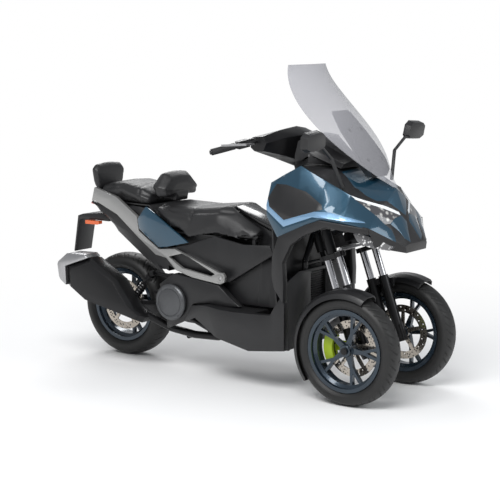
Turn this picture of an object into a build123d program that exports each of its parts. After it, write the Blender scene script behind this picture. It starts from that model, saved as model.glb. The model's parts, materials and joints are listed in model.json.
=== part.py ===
from build123d import *
import os
from math import cos, radians, sin

# Reverse trike: a tilting maxi scooter with two steered wheels in front and one driven wheel behind.
# Millimetres. +X points forward, +Y to the rider's left, +Z up. The floor is Z = 0 and the origin
# lies under the middle of the vehicle. Right-hand pieces are drawn on the -Y side and mirrored.

os.makedirs("parts", exist_ok=True)

# ---------------------------------------------------------------- stance and wheels
WHEELBASE = 1600
FRONT_TRACK = 560
FRONT_AXLE_X = 840
REAR_AXLE_X = FRONT_AXLE_X - WHEELBASE
FRONT_TYRE_R = 272
FRONT_TYRE_W = 120
REAR_TYRE_R = 285
REAR_TYRE_W = 160
BEAD_R = 190.5
FLANGE_R = 203
FRONT_RIM_W = 89
REAR_RIM_W = 114
RIM_WALL = 6
TYRE_WALL = 12
SPOKES = 5
DISC_R = 140
DISC_T = 4.5
DISC_HOLES = 15
AXLE_R = 10
RUN_CLEAR = 0.05
MOVE_CLEAR = 6
REST_CLEAR = 0.3

# ---------------------------------------------------------------- front suspension and steering
RAKE = 20
KINGPIN_Y = 170
KINGPIN_SETBACK = 10
KINGPIN_R = 15
COLUMN_R = 27
STANCHION_R = 18
LOWER_R = 25
LEG_GAP = 37
STEER_ARM = 60
STEM_BACK = 164
STEM_R = 14
FENDER_GAP = 20
FENDER_T = 5
FENDER_SIDE = 10
YOKE_LOW = 442
YOKE_T = 24
LINK_LOW = 470
LINK_T = 12
COLUMN_LOW = 470
COLUMN_TOP = 586
ARM_LEVELS = (500, 566)
ARM_T = 20

# ---------------------------------------------------------------- body
WALL = 5
FLOOR_HALF = 338
TUB_WALL = 4
TUB_HALF = 150
TUB_REAR_X = -335
TUB_FRONT_X = 0
TUB_FLOOR_Z = 545
TUB_RIM_Z = 742
SEAT_PIN_R = 5
SEAT_PIN_X = 180
SEAT_PIN_Z = 726
LID_PIN_R = 3
LID_PIN_X = 292
LID_PIN_Z = 770
LID_HALF = 82
BAR_R = 11
GRIP_R = 16.5
GRIP_LEN = 125
PEG_BORE_R = 9
PEG_X = 52
PEG_Z = 537
FAR = 2000

RAKE_RAD = radians(RAKE)
UP_AXIS = Vector(-sin(RAKE_RAD), 0, cos(RAKE_RAD))
AHEAD = Vector(cos(RAKE_RAD), 0, sin(RAKE_RAD))


KINGPIN_X = FRONT_AXLE_X - KINGPIN_SETBACK


def finish(piece, name):
    """Label a finished piece and write its STEP file."""
    piece.part.label = name
    export_step(piece.part, f"parts/{name}.step")


def wheel_plane(x, y, z):
    """Half plane of a wheel's section: local x along the axle, local y outward from it."""
    return Plane(origin=(x, y, z), x_dir=(0, 1, 0), z_dir=(1, 0, 0))


def side_plane(x, y, z):
    """Plane square to the axle through a wheel's centre, seen from the right."""
    return Plane(origin=(x, y, z), x_dir=(1, 0, 0), z_dir=(0, -1, 0))


def raked(along, y=0, ahead=0):
    """Point at a distance up the kingpin's rake from axle height, and a distance ahead of it."""
    return Vector(KINGPIN_X, y, FRONT_TYRE_R) + UP_AXIS * along + AHEAD * ahead


def rake_plane(along, y=0, ahead=0):
    """Plane square to the rake; local x points ahead and local y to the left."""
    return Plane(origin=raked(along, y, ahead), x_dir=AHEAD, z_dir=UP_AXIS)


def cylinder_between(start, end, r, mode=Mode.ADD):
    """Round bar from start to end, added to the part being built."""
    run = Vector(end) - Vector(start)
    with BuildSketch(Plane(origin=start, z_dir=run)) as section:
        Circle(r)
    extrude(section.sketch, amount=run.length, mode=mode)


def full_outline(half):
    """Close a right half outline (y, z) with its mirror image."""
    return list(half) + [(-y, z) for y, z in reversed(half) if y > 0]


def lofted(stations):
    """Form lofted along X. Each station is x and a half outline of (y, z)."""
    with BuildPart() as form:
        for x, half in stations:
            with BuildSketch(Plane.YZ.offset(x)):
                Polygon(*full_outline(half), align=None)
        loft(ruled=True)
    return form


def flank(side, plan, holes=()):
    """Panel on each flank: its outline in side view (x, z), its plan (x, distance from centre)."""
    with BuildPart() as panel:
        with BuildSketch(Plane.XY):
            Polygon(*[(x, -y) for x, y in plan], align=None)
        extrude(amount=FAR)
        with BuildSketch(Plane.XZ):
            Polygon(*side, align=None)
            for hole in holes:
                Polygon(*hole, align=None, mode=Mode.SUBTRACT)
        extrude(amount=FAR, mode=Mode.INTERSECT)
        mirror(about=Plane.XZ)
    return panel


def rod(path_points, bend_r, tube_r):
    """Round bar swept along straight runs joined by arcs."""
    with BuildPart() as bar:
        with BuildLine() as path:
            FilletPolyline(*path_points, radius=bend_r)
        with BuildSketch(Plane(origin=path.line @ 0, z_dir=path.line % 0)):
            Circle(tube_r)
        sweep(path=path.line)
    return bar


# ================================================================ wheels
def make_tyre(name, x, y, radius, width, rim_w):
    """Tyre carcass with a round crown, sidewalls and two beads seated on the rim."""
    crown_r = width * 0.36
    bulge_r = radius - width * 0.34
    half = width / 2
    with BuildPart() as tyre:
        with BuildSketch(wheel_plane(x, y, radius)):
            with BuildLine():
                Polyline((-rim_w / 2, BEAD_R), (-rim_w / 2, FLANGE_R), (-half, bulge_r))
                ThreePointArc((-half, bulge_r), (0, radius), (half, bulge_r))
                Polyline((half, bulge_r), (rim_w / 2, FLANGE_R), (rim_w / 2, BEAD_R),
                         (rim_w / 2 - TYRE_WALL, BEAD_R), (half - TYRE_WALL, bulge_r),
                         (crown_r / 2, radius - TYRE_WALL), (-crown_r / 2, radius - TYRE_WALL),
                         (TYRE_WALL - half, bulge_r), (TYRE_WALL - rim_w / 2, BEAD_R),
                         (-rim_w / 2, BEAD_R))
            make_face()
        revolve(axis=Axis((x, y, radius), (0, 1, 0)))
    finish(tyre, name)


def make_rim(name, x, y, z, rim_w, hub_half, spoke_shift):
    """Cast rim: barrel with flanges, hub and forked spokes."""
    half = rim_w / 2
    well = BEAD_R - 22
    with BuildPart() as rim:
        with BuildSketch(wheel_plane(x, y, z)):
            Polygon((-half - RIM_WALL, FLANGE_R), (-half, FLANGE_R), (-half, BEAD_R),
                    (-half + 16, BEAD_R), (-half + 26, well + RIM_WALL), (half - 26, well + RIM_WALL),
                    (half - 16, BEAD_R), (half, BEAD_R), (half, FLANGE_R), (half + RIM_WALL, FLANGE_R),
                    (half + RIM_WALL, BEAD_R - RIM_WALL), (half - 14, BEAD_R - RIM_WALL),
                    (half - 24, well), (-half + 24, well), (-half + 14, BEAD_R - RIM_WALL),
                    (-half - RIM_WALL, BEAD_R - RIM_WALL), align=None)
            with Locations((0, (30 + AXLE_R + RUN_CLEAR) / 2)):
                Rectangle(2 * hub_half, 30 - AXLE_R - RUN_CLEAR)
        revolve(axis=Axis((x, y, z), (0, 1, 0)))
        with BuildSketch(side_plane(x, y - spoke_shift, z)):
            with PolarLocations(0, SPOKES):
                Polygon((24, -16), (88, -9), (well + 2, -34), (well + 2, -20), (112, 0), (well + 2, 20),
                        (well + 2, 34), (88, 9), (24, 16), align=None)
        extrude(amount=11, both=True)
        fillet(rim.edges().filter_by(GeomType.CIRCLE).filter_by(lambda e: abs(e.radius - 30) < 0.01), 3)
    finish(rim, name)


def make_disc(name, x, y, z, centre_r, holes):
    """Drilled brake disc with a five-armed carrier."""
    with BuildPart() as disc:
        with BuildSketch(side_plane(x, y, z)):
            Circle(DISC_R)
            Circle(DISC_R - 38, mode=Mode.SUBTRACT)
            with PolarLocations(0, SPOKES, start_angle=18):
                Polygon((centre_r - 3, -12), (DISC_R - 34, -9), (DISC_R - 34, 9), (centre_r - 3, 12), align=None)
            with PolarLocations(DISC_R - 12, holes):
                Circle(3.5, mode=Mode.SUBTRACT)
            with PolarLocations(DISC_R - 26, holes, start_angle=180 / holes):
                Circle(3.5, mode=Mode.SUBTRACT)
            Circle(centre_r + 6)
            Circle(centre_r, mode=Mode.SUBTRACT)
        extrude(amount=DISC_T)
    finish(disc, name)


HUB_R = 30
FRONT_HUB_HALF = 40
REAR_HUB_HALF = 55
SPOKE_SHIFT = 10
DISC_INSET = 34

# ---------------------------------------------------------------- front corners, right then left
for side, hand in (("right", -1), ("left", 1)):
    wheel_y = hand * FRONT_TRACK / 2
    kingpin_y = hand * KINGPIN_Y
    axle_z = FRONT_TYRE_R
    make_tyre(f"front_tyre_{side}", FRONT_AXLE_X, wheel_y, FRONT_TYRE_R, FRONT_TYRE_W, FRONT_RIM_W)
    make_rim(f"front_rim_{side}", FRONT_AXLE_X, wheel_y, axle_z, FRONT_RIM_W, FRONT_HUB_HALF,
             -hand * SPOKE_SHIFT)
    disc_y = wheel_y - hand * DISC_INSET + (DISC_T if hand < 0 else 0)
    make_disc(f"front_disc_{side}", FRONT_AXLE_X, disc_y, axle_z, HUB_R, DISC_HOLES)

    # Fork: kingpin, yoke with steering arm, two lower legs, knuckle and stub axle.
    with BuildPart() as fork:
        with BuildSketch(rake_plane(YOKE_LOW, kingpin_y)):
            Polygon((-62, -24), (62, -24), (STEER_ARM + 12, 14), (STEER_ARM + 12, -14), (62, 24), (-62, 24),
                    align=None)
            with Locations((-LEG_GAP, 0), (LEG_GAP, 0)):
                Circle(26)
            with Locations((STEER_ARM, 0)):
                Circle(13)
        extrude(amount=YOKE_T)
        with BuildSketch(rake_plane(460, kingpin_y)):
            Circle(KINGPIN_R)
        extrude(amount=COLUMN_TOP - 460 + 4)
        with BuildSketch(rake_plane(460, kingpin_y)):
            with Locations((STEER_ARM, 0)):
                Circle(5)
        extrude(amount=26)
        with BuildSketch(rake_plane(300, kingpin_y)):
            with Locations((-LEG_GAP, 0), (LEG_GAP, 0)):
                Circle(LOWER_R)
        extrude(amount=-330)
        with BuildSketch(rake_plane(40, kingpin_y)):
            Polygon((-60, -20), (60, -20), (60, 20), (-60, 20), align=None)
        extrude(amount=-86)
        with BuildSketch(rake_plane(262, kingpin_y)):
            Rectangle(2 * LEG_GAP, 26)
        extrude(amount=30)
        stub_end = FRONT_TRACK / 2 + FRONT_HUB_HALF + 10
        with BuildSketch(side_plane(FRONT_AXLE_X, hand * (KINGPIN_Y + 10), axle_z)):
            Circle(AXLE_R)
        extrude(amount=-hand * (stub_end - KINGPIN_Y - 10))
        with BuildSketch(side_plane(FRONT_AXLE_X, hand * (KINGPIN_Y + 10), axle_z)):
            Circle(24)
        extrude(amount=-hand * (FRONT_TRACK / 2 - FRONT_HUB_HALF - 1 - KINGPIN_Y - 10))
        with BuildSketch(side_plane(FRONT_AXLE_X, hand * (FRONT_TRACK / 2 + FRONT_HUB_HALF + 1), axle_z)):
            Circle(17)
        extrude(amount=-hand * 8)
        with BuildSketch(rake_plane(300, kingpin_y)):
            with Locations((-LEG_GAP, 0), (LEG_GAP, 0)):
                Circle(STANCHION_R + RUN_CLEAR)
        extrude(amount=-60, mode=Mode.SUBTRACT)
    finish(fork, f"fork_{side}")

    with BuildPart() as stanchions:
        with BuildSketch(rake_plane(YOKE_LOW, kingpin_y)):
            with Locations((-LEG_GAP, 0), (LEG_GAP, 0)):
                Circle(STANCHION_R)
        extrude(amount=-202)
    finish(stanchions, f"fork_stanchions_{side}")

    # Caliper: rear of the disc, bridging it, on a lug from the knuckle.
    with BuildPart() as caliper:
        with BuildSketch(side_plane(FRONT_AXLE_X, wheel_y - hand * (DISC_INSET - 22), axle_z)):
            with BuildLine():
                CenterArc((0, 0), DISC_R + 12, 150, 60)
                CenterArc((0, 0), DISC_R - 36, 150, 60)
                Line((PolarLine((0, 0), DISC_R - 36, 150, mode=Mode.PRIVATE) @ 1),
                     (PolarLine((0, 0), DISC_R + 12, 150, mode=Mode.PRIVATE) @ 1))
                Line((PolarLine((0, 0), DISC_R - 36, 210, mode=Mode.PRIVATE) @ 1),
                     (PolarLine((0, 0), DISC_R + 12, 210, mode=Mode.PRIVATE) @ 1))
            make_face()
        extrude(amount=hand * 48)
        with BuildSketch(side_plane(FRONT_AXLE_X, wheel_y - hand * (DISC_INSET - 6), axle_z)):
            Circle(DISC_R + 5)
        extrude(amount=hand * 16, mode=Mode.SUBTRACT)
        with BuildSketch(side_plane(FRONT_AXLE_X, wheel_y - hand * (DISC_INSET + 20), axle_z)):
            Polygon((-95, -24), (-60, -20), (-60, 24), (-95, 24), (-128, 26), (-128, -26), align=None)
        extrude(amount=hand * 20)
    finish(caliper, f"front_caliper_{side}")

    # Fender: arc over the wheel with turned-down sides, and a stay to the inner leg.
    fender_r = FRONT_TYRE_R + FENDER_GAP
    fender_half = FRONT_TYRE_W / 2 + FENDER_SIDE
    with BuildPart() as fender:
        with BuildSketch(wheel_plane(FRONT_AXLE_X, wheel_y, axle_z)):
            Polygon((-fender_half, fender_r - 34), (-fender_half + 14, fender_r - 10), (-30, fender_r + 6),
                    (30, fender_r + 6), (fender_half - 14, fender_r - 10), (fender_half, fender_r - 34),
                    (fender_half - FENDER_T, fender_r - 34), (fender_half - 17, fender_r - 14),
                    (28, fender_r + 6 - FENDER_T), (-28, fender_r + 6 - FENDER_T),
                    (-fender_half + 17, fender_r - 14), (-fender_half + FENDER_T, fender_r - 34), align=None)
        revolve(axis=Axis((FRONT_AXLE_X, wheel_y, axle_z), (0, 1, 0)), revolution_arc=360)
        with BuildSketch(side_plane(FRONT_AXLE_X, 0, axle_z)):
            Polygon((0, 0), (230, 520), (-600, 520), (-600, -360), (-390, -300), align=None)
        extrude(amount=FAR, both=True, mode=Mode.INTERSECT)
        with BuildSketch(side_plane(FRONT_AXLE_X, hand * (FRONT_TRACK / 2 - fender_half + 4), axle_z)):
            Polygon((-92, 240), (-30, 240), (-30, 286), (-92, 272), align=None)
        extrude(amount=hand * (FRONT_TRACK / 2 - fender_half + 4 - KINGPIN_Y - LOWER_R - REST_CLEAR))
    finish(fender, f"front_fender_{side}")

# ---------------------------------------------------------------- rear wheel
make_tyre("rear_tyre", REAR_AXLE_X, 0, REAR_TYRE_R, REAR_TYRE_W, REAR_RIM_W)
make_rim("rear_rim", REAR_AXLE_X, 0, REAR_TYRE_R, REAR_RIM_W, REAR_HUB_HALF, 0)
make_disc("rear_disc", REAR_AXLE_X, -REAR_RIM_W / 2 + 10, REAR_TYRE_R, HUB_R, DISC_HOLES)

# ================================================================ steering
# Tilt linkage: two steering columns and the two transverse arms that carry them.
with BuildPart() as tilt_linkage:
    for hand in (-1, 1):
        with BuildSketch(rake_plane(COLUMN_LOW, hand * KINGPIN_Y)):
            Circle(COLUMN_R)
        extrude(amount=COLUMN_TOP - COLUMN_LOW)
    for level in ARM_LEVELS:
        with BuildSketch(rake_plane(level - ARM_T / 2)):
            Polygon((-14, -KINGPIN_Y), (-12, -40), (-20, 0), (-12, 40), (-14, KINGPIN_Y), (12, KINGPIN_Y),
                    (14, 34), (14, -34), (12, -KINGPIN_Y), align=None)
        extrude(amount=ARM_T)
    for hand in (-1, 1):
        with BuildSketch(rake_plane(COLUMN_LOW, hand * KINGPIN_Y)):
            Circle(KINGPIN_R + RUN_CLEAR)
        extrude(amount=COLUMN_TOP - COLUMN_LOW, mode=Mode.SUBTRACT)
    for level in ARM_LEVELS:
        cylinder_between(raked(level, 0, -60), raked(level, 0, 60), 7, Mode.SUBTRACT)
finish(tilt_linkage, "tilt_linkage")

# Centre link: ties the pitman arm of the steering stem to both steering arms.
PITMAN_AHEAD = STEER_ARM - STEM_BACK
PIN_R = 5
with BuildPart() as steering_link:
    with BuildSketch(rake_plane(LINK_LOW)):
        Polygon((STEER_ARM - 8, -KINGPIN_Y), (STEER_ARM + 8, -KINGPIN_Y), (STEER_ARM + 8, KINGPIN_Y),
                (STEER_ARM - 8, KINGPIN_Y), align=None)
        Polygon((PITMAN_AHEAD, -8), (STEER_ARM, -8), (STEER_ARM, 8), (PITMAN_AHEAD, 8), align=None)
        with Locations((STEER_ARM, -KINGPIN_Y), (STEER_ARM, KINGPIN_Y), (PITMAN_AHEAD, 0)):
            Circle(13)
        with Locations((STEER_ARM, -KINGPIN_Y), (STEER_ARM, KINGPIN_Y), (PITMAN_AHEAD, 0)):
            Circle(PIN_R + RUN_CLEAR, mode=Mode.SUBTRACT)
    extrude(amount=LINK_T)
finish(steering_link, "steering_link")

# Handlebar: stem with its pitman arm, riser, swept bar, switch pods and cover.
STEM_TOP = 1126
BAR_POINTS = ((130, -440, 1199), (255, -236, 1250), (322, -100, 1278), (322, 100, 1278),
              (255, 236, 1250), (130, 440, 1199))
bar_end, bar_knee = Vector(*BAR_POINTS[0]), Vector(*BAR_POINTS[1])
grip_dir = (bar_knee - bar_end).normalized()
# Cover over the bar's middle: distance to the right, then its (x, z) section.
COWL_OUTER = ((222, 1216), (234, 1266), (296, 1272), (318, 1240), (298, 1200), (244, 1198))
COWL_MIDDLE = ((236, 1206), (252, 1280), (322, 1298), (372, 1264), (362, 1172), (290, 1158))
COWL_CENTRE = ((262, 1200), (284, 1300), (346, 1314), (404, 1274), (396, 1132), (330, 1112))
COWL_STATIONS = ((-228, COWL_OUTER), (-120, COWL_MIDDLE), (0, COWL_CENTRE), (120, COWL_MIDDLE), (228, COWL_OUTER))
with BuildPart() as handlebar:
    with BuildSketch(rake_plane(YOKE_LOW)):
        Polygon((-STEM_BACK, -20), (PITMAN_AHEAD, -11), (PITMAN_AHEAD, 11), (-STEM_BACK, 20), align=None)
        with Locations((-STEM_BACK, 0)):
            Circle(20)
        with Locations((PITMAN_AHEAD, 0)):
            Circle(12)
    extrude(amount=YOKE_T)
    cylinder_between(raked(YOKE_LOW, 0, PITMAN_AHEAD), raked(LINK_LOW + LINK_T + 4, 0, PITMAN_AHEAD), PIN_R)
    cylinder_between(raked(YOKE_LOW, 0, -STEM_BACK), raked(STEM_TOP, 0, -STEM_BACK), STEM_R)
    with BuildLine() as bar_path:
        FilletPolyline(*BAR_POINTS, radius=60)
    with BuildSketch(Plane(origin=bar_path.line @ 0, z_dir=bar_path.line % 0)):
        Circle(BAR_R)
    sweep(path=bar_path.line)
    for y, section in COWL_STATIONS:
        with BuildSketch(Plane.XZ.offset(y)):
            Polygon(*section, align=None)
    loft(ruled=True)
    with BuildSketch(Plane(origin=bar_end + grip_dir * (GRIP_LEN + 22), z_dir=grip_dir)):
        Rectangle(44, 38)
    extrude(amount=58)
    with BuildSketch(Plane(origin=bar_end + grip_dir * (GRIP_LEN + 80), z_dir=grip_dir)):
        Circle(17)
    extrude(amount=34)
    mirror(about=Plane.XZ)
finish(handlebar, "handlebar")

with BuildPart() as hand_grips:
    with BuildSketch(Plane(origin=bar_end + grip_dir * 8, z_dir=grip_dir)):
        Circle(GRIP_R)
        Circle(BAR_R + RUN_CLEAR, mode=Mode.SUBTRACT)
    extrude(amount=GRIP_LEN)
    mirror(about=Plane.XZ)
finish(hand_grips, "hand_grips")

# Brake levers: flat blades pivoted ahead of the switch pods.
lever_root = bar_end + grip_dir * (GRIP_LEN + 60)
with BuildPart() as brake_levers:
    with BuildSketch(Plane(origin=lever_root + Vector(0, 0, -6), z_dir=(0, 0, 1))):
        Polygon((26, 30), (50, 20), (42, -40), (-14, -132), (-30, -150), (-36, -142), (-22, -124),
                (24, -44), (26, 0), align=None)
    extrude(amount=10)
    mirror(about=Plane.XZ)
    add(handlebar.part, mode=Mode.SUBTRACT)
finish(brake_levers, "brake_levers")

# ================================================================ frame and running gear
HEAD_LOW = 500
HEAD_TOP = 640
SPAR_X = 461
SPAR_Y = 92
SPAR_Z = 240
TUBE_R = 15
SWING_X = -330
SWING_Z = 330
SHOCK_TOP_X = -470
SHOCK_TOP_Z = 500
SHOCK_LOW_X = -640
SHOCK_LOW_Z = 305
SHOCK_Y = 162
STAND_X = -80
STAND_Z = 188
STAND_LUG_Y = 91
STAND_PIN_R = 7
SIDE_X = 30
SIDE_Z = 196
SIDE_LUG_Y = 128
with BuildPart() as front_frame:
    cylinder_between(raked(HEAD_LOW, 0, -STEM_BACK), raked(HEAD_TOP, 0, -STEM_BACK), 25)
    with BuildSketch(rake_plane(HEAD_LOW)):
        Polygon((-STEM_BACK, -16), (-30, -24), (-30, 24), (-STEM_BACK, 16), align=None)
    extrude(amount=82)
    for level in ARM_LEVELS:
        cylinder_between(raked(level, 0, -40), raked(level, 0, 24), 7 - RUN_CLEAR)
    for hand in (-1, 1):
        cylinder_between((466, hand * 14, 790), (SPAR_X, hand * SPAR_Y, 640), TUBE_R)
        cylinder_between((SPAR_X, hand * SPAR_Y, 640), (SPAR_X, hand * SPAR_Y, SPAR_Z - TUBE_R), TUBE_R)
    cylinder_between((SPAR_X, -SPAR_Y, 630), (SPAR_X, SPAR_Y, 630), 11)
    cylinder_between((SPAR_X, -SPAR_Y, 290), (SPAR_X, SPAR_Y, 290), 11)
    cylinder_between(raked(HEAD_LOW, 0, -STEM_BACK), raked(HEAD_TOP, 0, -STEM_BACK), STEM_R + RUN_CLEAR,
                     Mode.SUBTRACT)

with BuildPart() as main_frame:
    add(front_frame.part)
    for hand in (-1, 1):
        cylinder_between((SPAR_X + TUBE_R, hand * SPAR_Y, SPAR_Z), (STAND_X, hand * SPAR_Y, SPAR_Z), TUBE_R)
        cylinder_between((STAND_X, hand * 160, SPAR_Z), (SWING_X, hand * 160, SWING_Z), TUBE_R)
        cylinder_between((SWING_X, hand * 160, SWING_Z), (-345, hand * 160, 512), TUBE_R)
        cylinder_between((-345, hand * 134, 490), (SHOCK_TOP_X, hand * 134, SHOCK_TOP_Z), 11)
        cylinder_between((SHOCK_TOP_X, hand * 134, SHOCK_TOP_Z), (SHOCK_TOP_X, hand * 176, SHOCK_TOP_Z), 8)
    cylinder_between((250, -SPAR_Y, SPAR_Z), (250, SPAR_Y, SPAR_Z), 12)
    cylinder_between((STAND_X, -176, SPAR_Z), (STAND_X, 176, SPAR_Z), 13)
    cylinder_between((SWING_X, -160, SWING_Z), (SWING_X, 160, SWING_Z), 12)
    cylinder_between((-345, -160, 490), (-345, 160, 490), 11)
    for hand in (-1, 1):
        with BuildSketch(Plane.XZ.offset(hand * STAND_LUG_Y + 3.5)):
            Polygon((STAND_X - 13, SPAR_Z), (STAND_X + 13, SPAR_Z), (STAND_X + 11, STAND_Z - 11),
                    (STAND_X - 11, STAND_Z - 11), align=None)
        extrude(amount=-7)
    cylinder_between((STAND_X, -STAND_LUG_Y, STAND_Z), (STAND_X, STAND_LUG_Y, STAND_Z), STAND_PIN_R)
    with BuildSketch(Plane.XZ.offset(-SIDE_LUG_Y)):
        Polygon((SIDE_X - 15, SPAR_Z), (SIDE_X + 15, SPAR_Z), (SIDE_X + 12, SIDE_Z - 12),
                (SIDE_X - 12, SIDE_Z - 12), align=None)
    extrude(amount=SIDE_LUG_Y - SPAR_Y)
    cylinder_between((SIDE_X, SPAR_Y, SIDE_Z), (SIDE_X, SIDE_LUG_Y + 26, SIDE_Z), STAND_PIN_R)
finish(main_frame, "frame")

with BuildPart() as engine_block:
    with BuildSketch(Plane.XZ):
        Polygon((-296, 262), (-296, 470), (-240, 520), (60, 520), (110, 480), (110, 300), (60, 256), (-240, 256),
                align=None)
    extrude(amount=140, both=True)
    add(main_frame.part, mode=Mode.SUBTRACT)
finish(engine_block, "engine_block")

with BuildPart() as radiator:
    with Locations((461, 0, 460)):
        Box(14, 2 * (SPAR_Y - TUBE_R - 4), 270)
    with Locations(*[(470, 0, 340 + 12 * row) for row in range(21)]):
        Box(6, 136, 4)
finish(radiator, "radiator")

ARM_Y = 112
with BuildPart() as swingarm:
    with BuildSketch(Plane.XZ.offset(ARM_Y)):
        Polygon((SWING_X + 24, SWING_Z - 26), (SWING_X + 24, SWING_Z + 26), (-560, 340), (REAR_AXLE_X - 34, 308),
                (REAR_AXLE_X - 34, 262), (-560, 270), align=None)
    extrude(amount=26)
    mirror(about=Plane.XZ)
    cylinder_between((-434, -ARM_Y - 4, 312), (-434, ARM_Y + 4, 312), 20)
    cylinder_between((REAR_AXLE_X, -ARM_Y - 40, REAR_TYRE_R), (REAR_AXLE_X, ARM_Y + 40, REAR_TYRE_R), AXLE_R)
    for hand in (-1, 1):
        cylinder_between((REAR_AXLE_X, hand * (REAR_HUB_HALF + 1), REAR_TYRE_R),
                         (REAR_AXLE_X, hand * ARM_Y, REAR_TYRE_R), 22)
        cylinder_between((SHOCK_LOW_X, hand * (ARM_Y + 20), SHOCK_LOW_Z),
                         (SHOCK_LOW_X, hand * (SHOCK_Y + 14), SHOCK_LOW_Z), 8)
    cylinder_between((SWING_X, -200, SWING_Z), (SWING_X, 200, SWING_Z), 12 + RUN_CLEAR, Mode.SUBTRACT)
finish(swingarm, "swingarm")

# ================================================================ fairing
# Columns: x, then the right half section (y, z) from the top centre to the hidden closing edge:
# centre, hood edge, channel edge, widest line, lower edge, closing edge.
FAIRING_STATIONS = (
    (372, ((0, 1044), (150, 1052), (262, 1051), (304, 945), (298, 790), (0, 790))),
    (450, ((0, 1092), (160, 1096), (255, 1096), (318, 925), (314, 790), (0, 790))),
    (532, ((0, 1130), (165, 1133), (240, 1141), (330, 902), (328, 790), (0, 790))),
    (680, ((0, 1126), (168, 1122), (238, 1072), (336, 915), (334, 790), (0, 790))),
    (820, ((0, 1080), (132, 1050), (236, 1012), (318, 900), (290, 780), (0, 780))),
    (930, ((0, 1034), (86, 985), (178, 925), (266, 862), (230, 770), (0, 770))),
    (975, ((0, 925), (48, 915), (104, 890), (196, 826), (190, 762), (0, 762))),
    (1045, ((0, 778), (48, 780), (84, 778), (104, 768), (96, 738), (0, 738))),
)


def inset(half, wall):
    """Section of the inside of a shell that is open below."""
    inner = [(max(y - wall, 0), z - wall) for y, z in half[:-2]]
    low_y, low_z = half[-2]
    return inner + [(low_y - wall, low_z - 3 * wall), (0, low_z - 3 * wall)]


def shell(stations, wall, rear_open=True, front_open=False):
    """Hollow form lofted along X, open below and at the ends that are asked for."""
    inner = [[x, inset(half, wall)] for x, half in stations]
    inner[0][0] += 0 if rear_open else wall
    inner[-1][0] -= 0 if front_open else wall
    with BuildPart() as skin:
        for x, half in stations:
            with BuildSketch(Plane.YZ.offset(x)):
                Polygon(*full_outline(half), align=None)
        loft(ruled=True)
        for x, half in inner:
            with BuildSketch(Plane.YZ.offset(x)):
                Polygon(*full_outline(half), align=None)
        loft(ruled=True, mode=Mode.SUBTRACT)
    return skin


def prism(outline, plane, depth):
    """Solid prism of an outline, run both ways from its plane."""
    with BuildPart() as block:
        with BuildSketch(plane):
            Polygon(*outline, align=None)
        extrude(amount=depth, both=True)
    return block


def mirrored_plan(points):
    """Plan outline (x, y) symmetric about the centreline."""
    return list(points) + [(x, -y) for x, y in reversed(points) if y > 0]


ARCH_LINE = ((930, 866), (905, 870), (812, 886), (703, 898), (620, 868), (467, 800), (450, 780))
STRIPE_TOP = ((372, 976), (392, 938), (487, 880), (664, 934), (734, 936), (829, 919), (905, 894))
STRIPE_LOW = ((905, 890), (775, 904), (659, 908), (484, 846), (360, 926))

LEAST_PANEL = 1000
fairing_skin = shell(FAIRING_STATIONS, WALL)
above_arch = prism([(300, 1200), (1200, 1200), (1200, 600), (960, 600)] + list(ARCH_LINE) + [(360, 905),
                   (300, 905)], Plane.XZ, 500)
stripe_zone = prism([(300, 976)] + list(STRIPE_TOP) + list(STRIPE_LOW) + [(300, 926)], Plane.XZ, 500)
inset_zone = prism([(372, 976), (392, 938), (487, 880), (664, 934), (704, 946), (690, 968), (589, 1022),
                    (469, 1048), (408, 1048)], Plane.XZ, 500)
hood_zone = prism(mirrored_plan([(700, 0), (700, 136), (796, 173), (853, 163), (899, 134), (955, 56), (976, 18),
                                 (984, 0)]), Plane.XY, FAR)
cowl_zone = prism(mirrored_plan([(500, 0), (500, 246), (532, 239), (680, 237), (820, 235), (838, 224),
                                 (850, 0)]), Plane.XY, FAR)
front_zone = prism([(838, 1004), (905, 896), (905, 700), (1200, 700), (1200, 1100), (838, 1100)], Plane.XZ,
                   500)
# Front view outlines (y, z) of the right lamp, the side panel's pointed end and the blade inside the lamp.
LAMP_FACE = ((238, 1014), (192, 991), (149, 974), (103, 955), (44, 926), (40, 912), (88, 901), (129, 878),
             (160, 878), (189, 921), (205, 954), (222, 980))
PANEL_END = ((360, 1040), (238, 1014), (222, 980), (205, 954), (189, 921), (160, 878), (136, 850), (137, 816),
             (143, 794), (192, 825), (242, 856), (284, 880), (360, 896))
BLADE_FACE = ((129, 878), (88, 901), (34, 909), (12, 878), (27, 846), (51, 786), (84, 806), (99, 841))


def front_zone_of(outline):
    """Prism of a front view outline and its mirror image, in front of the screen's foot."""
    with BuildPart() as block:
        with BuildSketch(Plane.YZ.offset(790)):
            Polygon(*outline, align=None)
            Polygon(*[(-y, z) for y, z in outline], align=None)
        extrude(amount=400)
    return block


lamp_zone = front_zone_of(LAMP_FACE)
panel_end_zone = front_zone_of(PANEL_END)
blade_zone = front_zone_of(BLADE_FACE)

with BuildPart() as hood:
    add(fairing_skin.part)
    add(hood_zone.part, mode=Mode.INTERSECT)

with BuildPart() as headlamps:
    add(fairing_skin.part)
    add(lamp_zone.part, mode=Mode.INTERSECT)
    add(hood_zone.part, mode=Mode.SUBTRACT)
finish(headlamps, "headlamps")

with BuildPart() as fairing_stripe:
    add(fairing_skin.part)
    add(stripe_zone.part, mode=Mode.INTERSECT)
    add(above_arch.part, mode=Mode.INTERSECT)
    add(front_zone.part, mode=Mode.SUBTRACT)
    add(headlamps.part, mode=Mode.SUBTRACT)
finish(fairing_stripe, "fairing_stripe")

with BuildPart() as pointed_ends:
    add(fairing_skin.part)
    add(panel_end_zone.part, mode=Mode.INTERSECT)
    add(front_zone.part, mode=Mode.INTERSECT)
    add(above_arch.part, mode=Mode.INTERSECT)
with BuildPart() as blades:
    add(fairing_skin.part)
    add(blade_zone.part, mode=Mode.INTERSECT)

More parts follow.
